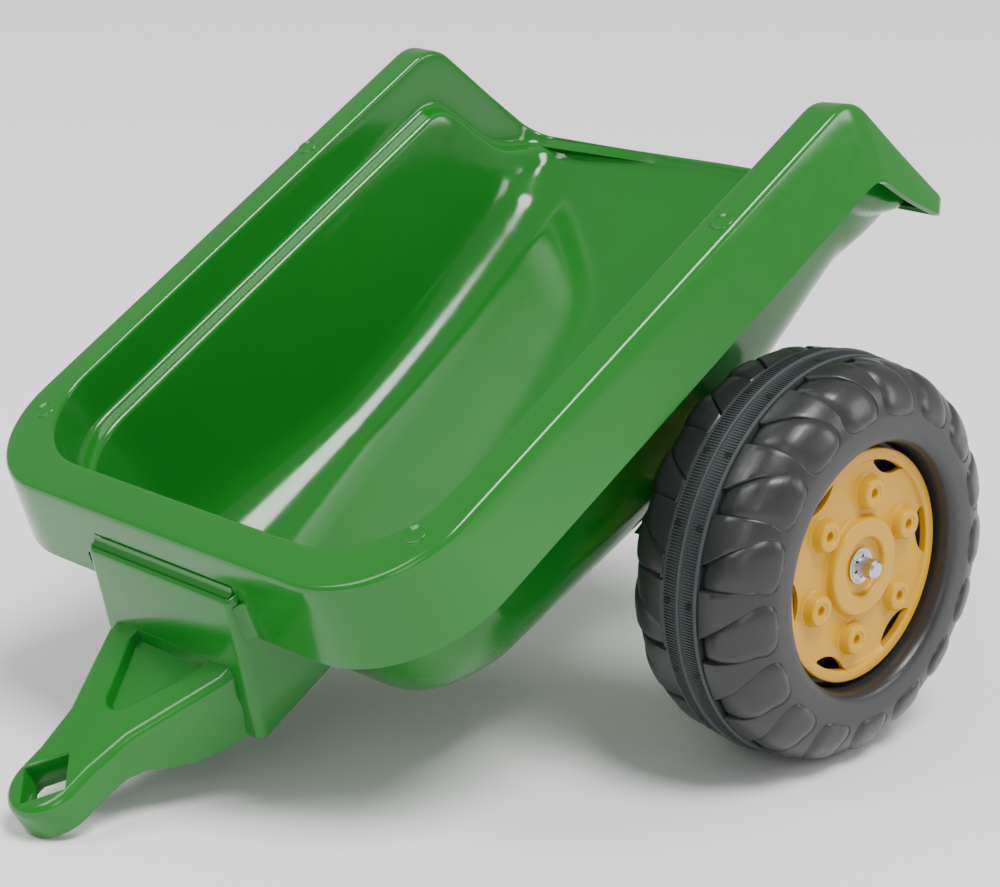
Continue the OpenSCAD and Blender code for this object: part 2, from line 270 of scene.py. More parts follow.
def linear(hex_colour):
    """A colour written as sRGB hex, as the linear values that the renderer works in."""
    parts = [int(hex_colour[i:i + 2], 16) / 255 for i in (1, 3, 5)]
    return [c / 12.92 if c <= 0.04045 else ((c + 0.055) / 1.055) ** 2.4 for c in parts] + [1]


def node(tree, kind, inputs=None, **settings):
    """Adds a node, with its settings and its inputs' values."""
    n = tree.nodes.new(kind)
    for key, value in settings.items():
        setattr(n, key, value)
    for key, value in (inputs or {}).items():
        n.inputs[key].default_value = value
    return n


def surface(name, colour, rough, metal=0.0, shade=0.06, shade_size=40, grain_size=900, grain=0.05,
            wear_size=220, wear=0.08, coat=0.0, rings=0.0, stretch=(1, 1, 1)):
    """A material whose colour drifts by shade, whose roughness drifts by wear and whose face has a fine
    grain. rings adds turning marks along the axle, and stretch draws the pattern out. Sizes are cells
    a metre."""
    look = bpy.data.materials.new(name)
    look.use_nodes = True
    tree = look.node_tree
    tree.nodes.clear()
    out = node(tree, "ShaderNodeOutputMaterial")
    shader = node(tree, "ShaderNodeBsdfPrincipled",
                  {"Metallic": metal, "Coat Weight": coat, "Coat Roughness": 0.12})
    where = node(tree, "ShaderNodeTexCoord")
    spread = node(tree, "ShaderNodeMapping", {"Scale": stretch})
    drift = node(tree, "ShaderNodeTexNoise", {"Scale": shade_size, "Detail": 4, "Roughness": 0.6})
    dark = [c * (1 - shade) for c in colour[:3]] + [1]
    light = [min(1, c * (1 + shade)) for c in colour[:3]] + [1]
    # Inputs 6 and 7 of a mix node are its two colours
    paint = node(tree, "ShaderNodeMix", {6: dark, 7: light}, data_type="RGBA")
    scuff = node(tree, "ShaderNodeTexNoise", {"Scale": wear_size, "Detail": 6, "Roughness": 0.7})
    gloss = node(tree, "ShaderNodeMapRange", {"From Min": 0.3, "From Max": 0.75,
                                              "To Min": rough - wear / 2, "To Max": rough + wear})
    fine = node(tree, "ShaderNodeTexNoise", {"Scale": grain_size, "Detail": 3})
    bump = node(tree, "ShaderNodeBump", {"Strength": grain, "Distance": 0.0004})
    for a, b in ((where.outputs["Object"], spread.inputs["Vector"]),
                 (spread.outputs[0], drift.inputs["Vector"]), (spread.outputs[0], scuff.inputs["Vector"]),
                 (spread.outputs[0], fine.inputs["Vector"]), (drift.outputs["Fac"], paint.inputs[0]),
                 (paint.outputs[2], shader.inputs["Base Color"]), (scuff.outputs["Fac"], gloss.inputs["Value"]),
                 (gloss.outputs[0], shader.inputs["Roughness"]), (fine.outputs["Fac"], bump.inputs["Height"]),
                 (bump.outputs[0], shader.inputs["Normal"]), (shader.outputs[0], out.inputs[0])):
        tree.links.new(a, b)
    if rings:
        marks = node(tree, "ShaderNodeTexWave", {"Scale": rings, "Distortion": 1.5, "Detail": 2},
                     bands_direction="X")
        groove = node(tree, "ShaderNodeBump", {"Strength": 0.12, "Distance": 0.0002})
        tree.links.new(where.outputs["Object"], marks.inputs["Vector"])
        tree.links.new(marks.outputs["Fac"], groove.inputs["Height"])
        tree.links.new(groove.outputs[0], bump.inputs["Normal"])
    return look


# ---------------------------------------------------------------- what a user can change


def tint(label, what, hex_colour):
    """A colour that a user can change."""
    return bpy.props.FloatVectorProperty(name=label, description=what, subtype="COLOR", size=4,
                                         min=0, max=1, default=linear(hex_colour))


def size(label, what, value, low, high):
    """A size in millimetres that a user can change."""
    return bpy.props.FloatProperty(name=label, description=what, default=value, min=low, max=high)


class TrailerTub(bpy.types.PropertyGroup):
    colour: tint("Tub colour", "Colour of the tub and drawbar", "#17701F")
    wall: size("Wall", "Wall thickness of the tub, mm", 3.0, 2.0, 3.5)
    edge: size("Edge radius", "Radius of the rim's outer edge, mm", 3.2, 1.0, 6.0)
    mould: size("Drawbar edge radius", "Radius of the nose and drawbar's edges, mm", 2.4, 0.5, 3.0)


class TrailerWheel(bpy.types.PropertyGroup):
    tyre_colour: tint("Tyre colour", "Colour of the tyre halves", "#29292B")
    band_colour: tint("Band colour", "Colour of the tread band", "#3A4041")
    disc_colour: tint("Disc colour", "Colour of the wheel discs", "#CC9800")
    lugs: bpy.props.IntProperty(name="Lugs", description="Lugs on each tyre half", default=17, min=12, max=22)
    lug_rise: size("Lug rise", "How far a lug's middle stands above its edges at the shoulder, mm",
                   1.9, 0.0, 6.0)
    lug_sink: size("Lug sink", "How far a lug's edges lie below the tread beside the band, mm", 2.7, 0.0, 4.0)
    ribs: bpy.props.IntProperty(name="Ribs", description="Fine ribs round each row of the band", default=420,
                                min=100, max=500)


class TrailerMetal(bpy.types.PropertyGroup):
    steel_colour: tint("Steel colour", "Colour of the zinc-plated axle and washers", "#C4C5CB")
    chamfer: size("Chamfer", "Chamfer on the ends of the axle, mm", 1.3, 0.2, 2.0)


class TrailerStage(bpy.types.PropertyGroup):
    floor_colour: tint("Floor colour", "Colour of the floor", "#FCFCFC")
    light: bpy.props.FloatProperty(name="Light", description="Strength of the studio lights", default=1.0,
                                   min=0.1, max=4.0)


# ---------------------------------------------------------------- tub


def rounded(points, cuts, runs, turns):
    """A line through the points with its corners rounded, always with the same number of samples.
    cuts is how far from each inner point its rounding starts, and less where the next point is near.
    runs and turns are the samples on each straight run and on each rounding."""
    p = [np.array(q, float) for q in points]
    pair = []
    for i in range(1, len(p) - 1):
        a, b = p[i - 1] - p[i], p[i + 1] - p[i]
        la, lb = np.linalg.norm(a), np.linalg.norm(b)
        ta, tb = min(cuts[i - 1], 0.48 * la), min(cuts[i - 1], 0.48 * lb)
        a, b = a / max(la, 1e-9), b / max(lb, 1e-9)
        turn = math.acos(max(-1, min(1, float(-a @ b))))
        # How far a cubic curve's handles reach towards the corner, so that it runs as an arc does
        pull = 2 / 3 if turn < 1e-3 else 4 / 3 * math.tan(turn / 4) / math.tan(turn / 2)
        start, end = p[i] + a * ta, p[i] + b * tb
        pair.append((start, start + (p[i] - start) * pull, end + (p[i] - end) * pull, end))
    out, last = [], p[0]
    for i, (a, b, c, d) in enumerate(pair):
        out += [last + (a - last) * k / runs[i] for k in range(runs[i])]
        for k in range(turns[i]):
            u = k / turns[i]
            out.append((1 - u) ** 3 * a + 3 * u * (1 - u) ** 2 * b + 3 * u * u * (1 - u) * c + u ** 3 * d)
        last = d
    out += [last + (p[-1] - last) * k / runs[-1] for k in range(runs[-1] + 1)]
    return np.array(out)


def floor_z(y):
    """Height of the tub's floor: level in front, rising in a curve to the pouring lip."""
    return 25 + 35 * max(0.0, (y + 60) / 268) ** 2


# Lines that run round one half of the tub, from the middle of the front, down the side, over the ear
# and to the middle of the lip. Each is its corners (half-width, reach back, height) and how far each
# corner's rounding reaches. The last two take their heights from the floor.
RIM_Z = 164
TUB_LINES = (
    # lower edge of the skirt
    ([(0, -226, 120), (172, -226, 120), (172.5, 152, 119), (172.5, 169, 90), (171.5, 190, 62),
      (0, 203.5, 54)], (66, 9, 12, 10)),
    # outer edge of the rim
    ([(0, -218, RIM_Z), (164, -218, RIM_Z), (164, 161, RIM_Z), (164, 184, 106.5), (164, 203.5, 60),
      (0, 208, 60)], (60, 15, 14, 12)),
    # edge of the opening
    ([(0, -195, RIM_Z), (144, -195, RIM_Z), (144, 160, RIM_Z), (144, 183.5, 107), (144, 202, 65),
      (0, 204.2, 60.5)], (55, 16, 10, 16)),
    # foot of the upper wall
    ([(0, -194, 136.5), (143, -194, 136.5), (143, 141, 136.5), (143, 168, 81), (141.5, 198.5, 61.5),
      (0, 202.2, 59.2)], (54, 14, 14, 16)),
    # inner edge of the step
    ([(0, -190, 135), (133, -190, 135), (133, 138, 135), (133, 164.5, 79), (131, 195.5, 59.6),
      (0, 200.4, 58.6)], (50, 14, 14, 14)),
    # where wall and floor would meet
    ([(0, -187, 25), (121, -187, 25), (121, 134, 43), (121, 166, 50), (119, 191.5, 56),
      (0, 197.6, 57.8)], (46, 8, 8, 12)),
    # middle of the floor
    ([(0, -122, 25), (0, -122, 25), (0, 134, 43), (0, 166, 50), (0, 188, 54), (0, 188, 54)], (0, 6, 6, 0)),
)
# Samples on each straight run and each rounding, round the tub and then across it
ROUND_RUNS, ROUND_TURNS = (14, 34, 3, 8, 16), (18, 8, 6, 12)
ACROSS_RUNS, ACROSS_TURNS = (5, 3, 4, 2, 8, 10), (6, 5, 4, 5, 12)


def tub_shell(p):
    """The tub, its rim and its skirt: one face swept round the trailer, then given its wall."""
    lines = [rounded(points, cuts, ROUND_RUNS, ROUND_TURNS) for points, cuts in TUB_LINES]
    for line in lines[5:]:
        line[:, 2] = [floor_z(y) for y in line[:, 1]]
    stations = len(lines[0])
    front_end, fade = ROUND_RUNS[0] + ROUND_TURNS[0] - 6, 20
    grid = []
    for j in range(stations):
        # The fillet between wall and floor is widest in front, and tightens along the side
        front = max(0.0, min(1.0, 1 - (j - front_end) / fade))
        cuts = (p.edge, 2.6, 3.0, 3.0, 27 + 33 * front)
        grid.append(rounded([line[j] for line in lines], cuts, ACROSS_RUNS, ACROSS_TURNS))
    grid = np.array(grid)
    rows = grid.shape[1]
    verts = np.concatenate([grid.reshape(-1, 3), (grid * [-1, 1, 1]).reshape(-1, 3)])
    other = stations * rows
    faces = []
    for j in range(stations - 1):
        for k in range(rows - 1):
            a, b, c, d = j * rows + k, j * rows + k + 1, (j + 1) * rows + k + 1, (j + 1) * rows + k
            faces.append([a, d, c, b])
            faces.append([other + a, other + b, other + c, other + d])
    mesh = mesh_from("tub", verts, faces)
    shell = placed("tub", mesh)
    step = shell.modifiers.new("wall", "SOLIDIFY")
    step.thickness, step.offset = p.wall, -1
    return settled(shell)


def stack(name, layers):
    """A solid carried up through outlines of equal length. Each layer is (outline of x and y, z)."""
    n = len(layers[0][0])
    verts = [(x, y, z) for outline, z in layers for x, y in outline]
    faces = [list(range(n)), list(range(len(verts) - n, len(verts)))]
    faces += [[a + i, a + (i + 1) % n, a + n + (i + 1) % n, a + n + i]
              for a in range(0, len(verts) - n, n) for i in range(n)]
    return mesh_from(name, verts, faces, face_out=True)


def inset(outline, gap):
    """The outline drawn in by a gap. It runs anticlockwise."""
    p = np.array(outline, float)
    ahead = np.roll(p, -1, 0) - p
    out = np.stack([ahead[:, 1], -ahead[:, 0]], -1) / np.linalg.norm(ahead, axis=1)[:, None]
    last = np.roll(out, 1, 0)
    return p - gap * (out + last) / (1 + (out * last).sum(1))[:, None]


def brow(radius, top, steps=5):
    """Steps of a rounded upper edge, as (drawn in, height)."""
    return [(radius * (1 - math.cos(t)), top - radius * (1 - math.sin(t)))
            for t in (math.pi / 2 * i / steps for i in range(steps + 1))]


# The nose box below the front rim, and the drawbar that runs out from it to the square eye
NOSE_TOP, NOSE_FOOT, NOSE_HALF, NOSE_FRONT, NOSE_LEAN = 143.6, 69.5, 58, -228, 0.324
BAR_TOP, BAR_FOOT, BAR_EDGE = 106.5, 60, 5.0
EYE = (0, -331)
EYE_RADIUS, EYE_HOLE = 21.5, 16.6


def nose_layer(z, gap, corner=5.5):
    """The nose box's outline at a height, drawn in by a gap. Its front leans forward on the way down."""
    front = NOSE_FRONT - (NOSE_TOP - z) * NOSE_LEAN + gap
    side, r = NOSE_HALF - gap, max(corner - gap, 0.3)
    return ([(side, -197), (-side, -197)] + arc((-side + r, front + r), r, 180, 270, 6)
            + arc((side - r, front + r), r, 270, 360, 6))


def drawbar_solid(p):
    """Nose box and drawbar with its square eye: closed above, open below, with its edges rounded."""
    wide = NOSE_HALF + 2
    layers = [(nose_layer(NOSE_FOOT, 1.2), NOSE_FOOT)] + [(nose_layer(z, 0), z) for z in (71.2, 90, 120)]
    solid = stack("nose", layers + [(nose_layer(z, gap), z) for gap, z in brow(p.mould, NOSE_TOP)])
    # The bar: its outline seen from above, kept where its outline seen from the side is too
    plan = (arc(EYE, EYE_RADIUS, 180, 360, 32) + [(21.6, -318), (25.5, -294), (48, -247), (49, -225),
                                                  (-49, -225), (-48, -247), (-25.5, -294), (-21.6, -318)])
    bar = stack("bar", [(plan, BAR_FOOT)]
                + [(inset(plan, gap), z) for gap, z in brow(BAR_EDGE, BAR_TOP, 6)])
    side = prism("side", [(-220, 69.5), (-262, 69.5), (-276, 71.5), (-287, 77), (-296, 84), (-306, 87.6),
                          (-354, 87.6), (-354, 107), (-220, 107)], -wide, wide, "x")
    solid = cut(solid, cut(bar, side, "INTERSECT"), "UNION")
    # Both are hollow from below
    hollow = prism("hollow", [(-192, 140.5), (-225.8, 140.5), (-249.2, 66), (-249.2, 40), (-192, 40)],
                   -54.8, 54.8, "x")
    under = prism("under", [(-45, -230), (-45, -248), (-22.4, -295), (-19, -305), (19, -305), (22.4, -295),
                            (45, -248), (45, -230)], 40, 98.4, "z")
    solid = cut(cut(solid, hollow), under)
    # The pocket in the bar's upper face, which flares towards its top and stops at the nose's front
    pocket = arc((0, -273), 10.5, 205, 335, 14) + [(27.5, -246), (27.5, -238), (-27.5, -238), (-27.5, -246)]
    layers = [(inset(pocket, gap), z) for gap, z in ((1.5, 100.2), (0.4, 100.6), (0, 101.7), (-0.5, 105.2),
                                                     (-0.7, 105.8), (-1.2, 106.3), (-2.0, BAR_TOP), (-2.1, 112))]
    ahead = prism("ahead", [(-235.9, 120), (-245.6, 90), (-300, 90), (-300, 120)], -wide, wide, "x")
    solid = cut(solid, cut(stack("pocket", layers), ahead, "INTERSECT"))
    # The square hole of the eye, corner forwards, and the wider well below it
    hole = arc(EYE, EYE_HOLE, 90, 360, 3)
    layers = [(inset(hole, gap), z) for gap, z in ((0, BAR_FOOT), (0, 105.4), (-0.4, 106.1),
                                                   (-1.1, BAR_TOP), (-1.1, 120))]
    solid = cut(solid, stack("hole", layers))
    well = [spot for k in range(4) for spot in arc(EYE, 18.4, 90 * k - 8, 90 * k + 8, 4)]
    return cut(solid, prism("well", well, BAR_FOOT, 94, "z"))


def cove(a, b, one, two, radius, steps=6):
    """A hollow fillet along the line from a to b, in the corner between the directions one and two."""
    a, b, one, two = (Vector(v) for v in (a, b, one, two))
    middle = (one + two) * radius
    rim = [middle - radius * (one * math.sin(t) + two * math.cos(t))
           for t in (math.pi / 2 * i / steps for i in range(steps + 1))]
    rim = [-0.8 * (one + two)] + rim
    n = len(rim)
    verts = [end + v for end in (a, b) for v in rim]
    faces = [list(range(n)), list(range(n, 2 * n))]
    faces += [[i, (i + 1) % n, n + (i + 1) % n, n + i] for i in range(n)]
    return mesh_from("cove", verts, faces, face_out=True)


def leg(x):
    """A web under the floor, with the boss that the axle passes through."""
    foot, half, boss_half, bore = 12, 3, 4.2, 5.2
    outline = [(-38, 23.4), (-foot, 2)] + arc((0, 0), foot, 175, 365, 20) + [(foot, 2), (38, 26.5)]
    web = prism("leg", outline, x - half, x + half, "x")
    boss = revolved("boss", [(x - boss_half, bore), (x - boss_half, 10.6), (x - 3.2, 11.6), (x + 3.2, 11.6),
                             (x + boss_half, 10.6), (x + boss_half, bore)], 48)
    return [(softened(web, 0.8), 0), (boss, 0)]


def dimple(x, y, z):
    """A shallow round mark with a thin raised edge, on the flange."""
    profile = [(0.0, 3.6), (0.35, 4.6), (0.75, 5.3), (0.8, 5.7), (0.55, 6.2), (-0.3, 6.6), (-0.3, 0.0)]
    turns = 32
    verts = [(x + r * math.cos(t), y + r * math.sin(t), z + h) for h, r in profile
             for t in (2 * math.pi * i / turns for i in range(turns))]
    return mesh_from("dimple", verts, ring_faces(len(profile), turns, True), face_out=True)


class TRAILER_OT_tub(bpy.types.Operator):
    """Builds the tub with its rim, skirt, pouring lip, nose and drawbar"""

    bl_idname = "trailer.tub"
    bl_label = "Build tub and drawbar"

    def execute(self, context):
        p = context.scene.trailer_tub
        parts = [(tub_shell(p), 0), (drawbar_solid(p), 0)]
        # The nose runs into the skirt in a soft curve, above and on both sides
        parts.append((cove((-55, -221.4, 143.4), (55, -221.4, 143.4), (0, -0.98, 0.18), (0, 0, 1), 4.5), 0))
        for side in (-1, 1):
            parts.append((cove((side * 57.8, -222.2, 140), (side * 57.8, -225.8, 120.5),
                               (side, 0, 0), (0, -1, 0), 6.0), 0))
            for x in (66, 112):
                parts += leg(side * x)
            for x, y in ((145.6, -171), (156.1, 56.8)):
                parts.append((dimple(side * x, y, RIM_Z), 0))
        mesh = joined("tub_moulding", parts)
        mesh.transform(parked())
        # Glossy moulded polypropylene: a strong green whose long soft reflections are broken by a faint
        # flow ripple and by light handling scuffs
        look = surface("glossy green moulded polypropylene", p.colour, 0.13, shade=0.05, shade_size=14,
                       grain_size=260, grain=0.02, wear_size=90, wear=0.06)
        finished("tub_moulding", mesh, "chassis", "tub_and_drawbar", [look], 40)
        return {"FINISHED"}


# ---------------------------------------------------------------- wheels


def tyre_half(p, half_w, tread_r, mouth_r):
    """One tyre half: a profile swept round the axle, whose grid lines follow the edges of the lugs. Its
    outer face looks along +x, and u is the share of a lug's way from the band down to the shoulder's foot."""
    # The tops of the lugs in section, as (distance from the middle of the wheel, radius)
    lands = [(10.9, tread_r - 5), (10.95, tread_r - 0.4), (11.4, tread_r), (16, tread_r + 0.1),
             (21, tread_r - 0.2),
             (25, tread_r - 1.2), (28.5, tread_r - 2.8), (31.6, tread_r - 5.2), (34.2, tread_r - 7.9),
             (36.4, tread_r - 10.9), (38.2, tread_r - 14.2), (39.6, tread_r - 17.6), (40.5, tread_r - 21),
             (41.0, tread_r - 24)]
    lands = rounded(lands, [0.3] + [1.2] * 11, [2] * 13, [2] * 12)
    steps = np.linalg.norm(np.diff(lands, axis=0), axis=1)
    along = np.concatenate([[0], np.cumsum(steps)])
    start = along[np.argmax(lands[:, 1] > tread_r - 0.05)]
    u = np.clip((along - start) / (along[-1] - start), 0, 1)
    tangent = np.gradient(lands, axis=0)
    normal = np.stack([-tangent[:, 1], tangent[:, 0]], -1)
    normal /= np.linalg.norm(normal, axis=1)[:, None]
    pitch = 360 / p.lugs
    # A lug's half-width in degrees: a wedge that widens down the shoulder, then a round end. These are
    # the widths of a wheel with 17 lugs.
    narrow, broad, straight = 3.3, 8.7, 0.8
    wide = np.where(u < straight, narrow + (broad - narrow) * u / straight,
                    broad * np.clip(1 - ((u - straight) / (1 - straight)) ** 3, 0.0004, 1) ** (1 / 3))
    wide *= pitch / 21.18
    # How far each lug leans round the wheel on its way out, in degrees
    lean = 2.78 + 6.6 * np.clip(u / 0.7, 0, 1)
    # Samples over one lug: the groove, the lug's edge, its crowned face, the other edge and the groove
    across = np.linspace(-1, 1, 15)
    rows, turn = [], []
    for i, (s, r) in enumerate(lands):
        w = wide[i]
        # Half of the groove between two lugs, and the part of it that a lug's edge slopes over
        gap = pitch / 2 - w
        edge = min(0.55, gap * 0.4)
        angle = np.concatenate([[-pitch / 2 + gap * k / 5 for k in range(4)], [-w - edge, -w - edge * 0.4],
                                across * w, [w + edge * 0.4, w + edge],
                                [pitch / 2 - gap * k / 5 for k in (3, 2, 1)]])
        inside = np.concatenate([np.zeros(4), [0, 0.25], np.ones(15), [0.25, 0], np.zeros(3)])
        # Down the first half of a lug its crown rises and its edges come up. Both end at its foot.
        grown = min(1.0, u[i] / 0.5)
        fade = min(1.0, (1 - u[i]) / 0.05)
        rise = (0.6 + (p.lug_rise - 0.6) * grown) * fade
        sink = p.lug_sink * (1 - 0.86 * grown) * fade
        bulge = np.zeros(len(angle))
        bulge[6:6 + len(across)] = (1 - np.abs(across) ** 4) * rise
        height = bulge - sink * inside
        if along[i] < start - 2.4:
            height *= 0.0
        rows.append([(s + normal[i, 0] * h, r + normal[i, 1] * h) for h in height])
        turn.append(angle + lean[i])
    rows, turn = np.array(rows), np.array(turn)
    rows[..., 0] = np.minimum(rows[..., 0], half_w - 0.1)
    turns = rows.shape[1] * p.lugs
    angle = np.concatenate([turn + pitch * k for k in range(p.lugs)], 1)
    grid = np.concatenate([rows] * p.lugs, 1)
    # The plain rest of the section: mouth, web, hub tube and the seat under the band
    rest = rounded([(41.0, tread_r - 24), (41.1, mouth_r + 10), (40.6, mouth_r + 3.5), (38, mouth_r + 0.8),
                    (32, mouth_r), (19.3, mouth_r - 0.5), (19.3, 11), (27.9, 11), (27.9, 7), (16.3, 7),
                    (16.3, mouth_r - 3), (0.15, mouth_r - 3), (0.15, tread_r - 5), (10.9, tread_r - 5)],
                   [5, 3.5, 3, 2, 1, 1, 0.5, 0.5, 1, 1, 0.2, 0.2], [2] * 13,
                   [5, 4, 3, 2, 2, 2, 1, 1, 2, 2, 1, 1])[1:-1]
    flat = np.repeat(rest[:, None, :], turns, 1)
    even = np.repeat(angle[-1:], len(rest), 0)
    grid, angle = np.concatenate([grid, flat]), np.radians(np.concatenate([angle, even]))
    s, r = grid[..., 0], grid[..., 1]
    points = np.stack([s, r * np.sin(angle), r * np.cos(angle)], -1)
    return mesh_from("tyre", points.reshape(-1, 3), ring_faces(len(grid), turns, True), face_out=True)


def on_axle(mesh, side, face):
    """Places a wheel piece that is drawn with its outer face along +x, at the wheel on that side."""
    centre = wheel_centre(side)
    out = dict(SIDES)[side] * face
    copy = mesh.copy()
    copy.transform(Matrix.Translation(centre * MM) @ Matrix.Diagonal((out * MM, MM, MM, 1)))
    if out < 0:
        copy.flip_normals()
    return copy


def wheel_sizes():
    """Radii and half-width of the wheel, read from the CAD, in mm."""
    low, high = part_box("tread_band_right")
    disc_low, disc_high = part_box("wheel_disc_outer_right")
    return {"crest": (high.z - low.z) / 2 / MM, "band": (high.x - low.x) / 2 / MM,
            "half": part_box("tyre_outer_right")[1].x / MM - wheel_centre("right").x,
            "rim": (disc_high.z - disc_low.z) / 2 / MM}


class TRAILER_OT_tyres(bpy.types.Operator):
    """Builds the four lugged tyre halves"""

    bl_idname = "trailer.tyres"
    bl_label = "Build tyres"

    def execute(self, context):
        p = context.scene.trailer_wheel
        w = wheel_sizes()
        # Blow-moulded plastic: near black with a soft satin shine, a fine grain and paler rubbed patches
        look = surface("satin black blow-moulded plastic", p.tyre_colour, 0.33, shade=0.12, shade_size=25,
                       grain_size=700, grain=0.10, wear_size=150, wear=0.10)
        tyre = tyre_half(p, w["half"], w["crest"] - 2.5, w["rim"] + 3.5)
        for side, _ in SIDES:
            for name, face in FACES:
                mesh = on_axle(tyre, side, face)
                finished(f"tyre_{name}_{side}_moulding", mesh, "wheel_" + side, f"tyre_{name}_{side}",
                         [look], 38)
        return {"FINISHED"}


class TRAILER_OT_bands(bpy.types.Operator):
    """Builds the two ribbed tread bands"""

    bl_idname = "trailer.bands"
    bl_label = "Build tread bands"

    def execute(self, context):
        p = context.scene.trailer_wheel
        w = wheel_sizes()
        top, half = w["crest"], w["band"]
        # Soft running band: dull dark rubber with a cool grey bloom on its ribs
        look = surface("soft grey-black running rubber", p.band_colour, 0.55, shade=0.15, shade_size=60,
                       grain_size=1200, grain=0.15, wear_size=300, wear=0.12)
        # The pin holes are painted shade: each is a solid plug coloured near black, standing for the shadow inside a
        # hole
        hole = surface("shadowed pin hole", linear("#070808"), 0.8, shade=0.2)
        # Half of the band's section, as (distance from its middle, depth below its crest)
        edge = [(half, 6.5), (half, 2.2), (half - 0.4, 1.6), (half - 1.5, 1.5), (half - 1.9, 2.2),
                (0.9, 1.5), (0.55, 0.3), (0.25, 0.05)]
        base = revolved("band", [(x, top - d) for x, d in edge] + [(-x, top - d) for x, d in reversed(edge)], 192)
        parts = [(base, 0)]
        for x in (-(half - 0.8) / 2, (half - 0.8) / 2):
            long = (half - 2.8) / 2
            rib = prism("rib", [(-0.42, top - 2.6), (0.42, top - 2.6), (0.26, top - 1.25), (-0.26, top - 1.25)],
                        x - long, x + long, "x")
            parts.append((ring_of(rib, p.ribs, 0.0, look), 0))
        pin_reach, pin_r, sides = 6.6, 1.7, 12
        for x in (-pin_reach, pin_reach):
            # Painted shade: a near-black plug where each pin hole's shadow would be
            pin = mesh_from("pin", [(x + pin_r * math.sin(t), pin_r * math.cos(t), top - z) for z in (2.4, 1.15)
                                    for t in (2 * math.pi * i / sides for i in range(sides))],
                            ring_faces(2, sides, False) + [list(range(sides)), list(range(sides, 2 * sides))],
                            face_out=True)
            parts.append((ring_of(pin, p.lugs, 0.1, hole), 1))
        mesh = joined("band", parts)
        for side, _ in SIDES:
            finished(f"band_{side}_ribbed", on_axle(mesh, side, 1), "wheel_" + side, "tread_band_" + side,
                     [look, hole])
        return {"FINISHED"}


# The bosses of a disc: how many, how far out, and how far the ring is turned from upright
BOSSES, BOSS_REACH, BOSS_PHASE = 6, 37.6, -math.radians(7.4)


def disc_mesh(rim_r, look):
    """A wheel disc: flat lip, dished face with its bosses and as many slots, raised hub with a recess."""
    face = rounded([(29.5, 6.75), (29.5, 14.6), (33.3, 15.4), (33.3, 25), (28.3, 26.2), (28.3, 53.2),
                    (30.9, 54.6), (30.9, rim_r), (24.5, rim_r)],
                   [1.0, 1.0, 1.4, 1.2, 1.2, 0.8, 0.9], [2] * 8, [3, 3, 4, 4, 4, 3, 4])
    back = [(24.5, rim_r - 2.4), (28.2, rim_r - 2.6), (28.2, 55.5), (25.7, 53.5), (25.7, 25.5), (30.6, 23.8),
            (30.6, 17.4), (27.9, 16.6), (27.9, 6.75)]
    disc = revolved("disc", list(face) + back, 180)
    # A slot lies between two arcs, the outer one about the hub and the inner one about a point beyond it
    outer = rim_r - 6
    far, inner = outer + 13.5, 20.0
    up = math.acos((outer ** 2 - inner ** 2 + far ** 2) / (2 * far) / outer)
    down = math.degrees(math.asin(outer * math.sin(up) / inner))
    up = math.degrees(up)
    lens = arc((0, 0), outer, -up, up, 12) + arc((far, 0), inner, 180 - down, 180 + down, 14)[1:-1]
    for k in range(BOSSES):
        # Each slot is halfway between two bosses
        turn = 2 * math.pi * (k + 0.5) / BOSSES + BOSS_PHASE
        outline = [(r * math.sin(turn) + t * math.cos(turn), r * math.cos(turn) - t * math.sin(turn))
                   for r, t in lens]
        disc = cut(disc, prism("slot", outline, 20, 40, "x"))
    boss = revolved("boss", [(27.2, 2.6), (27.2, 9.9), (28.35, 9.9), (28.9, 8.9), (30.2, 8.3), (33.3, 7.8),
                             (33.9, 7.4), (34.2, 6.8), (34.2, 4.6), (33.7, 4.2), (33.5, 3.0), (33.2, 2.6)], 40)
    plug = revolved("plug", [(27.3, 0.05), (27.3, 2.7), (31.0, 2.7), (31.0, 0.05)], 24)
    both = joined("boss", [(boss, 0), (plug, 0)])
    both.transform(Matrix.Translation((0, 0, BOSS_REACH)))
    return joined("disc", [(disc, 0), (ring_of(both, BOSSES, BOSS_PHASE, look), 0)])


class TRAILER_OT_discs(bpy.types.Operator):
    """Builds the four yellow wheel discs"""

    bl_idname = "trailer.discs"
    bl_label = "Build wheel discs"

    def execute(self, context):
        p = context.scene.trailer_wheel
        w = wheel_sizes()
        # Injection-moulded plastic: warm even yellow with a soft gloss and faint handling marks
        look = surface("glossy yellow moulded plastic", p.disc_colour, 0.38, shade=0.03, shade_size=30,
                       grain_size=500, grain=0.04, wear_size=160, wear=0.08)
        disc = disc_mesh(w["rim"], look)
        for side, _ in SIDES:
            for name, face in FACES:
                finished(f"disc_{name}_{side}_moulding", on_axle(disc, side, face), "wheel_" + side,
                         f"wheel_disc_{name}_{side}", [look], 30)
        return {"FINISHED"}


# ---------------------------------------------------------------- axle and what is on it


def tube(node_name, chamfer):
    """A turned or cut tube that fills the CAD node's own length and radius, bored for the axle."""
    low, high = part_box(node_name)
    centre = axle_centre()
    x0, x1, r = (low.x - centre.x) / MM, (high.x - centre.x) / MM, (high.z - low.z) / 2 / MM
    bore = (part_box("axle")[1].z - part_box("axle")[0].z) / 2 / MM + 0.06
    return revolved(node_name, [(x0, bore + chamfer / 2), (x0, r - chamfer), (x0 + chamfer, r), (x1 - chamfer, r),
                                (x1, r - chamfer), (x1, bore + chamfer / 2), (x1 - chamfer / 2, bore),
                                (x0 + chamfer / 2, bore)], 72)


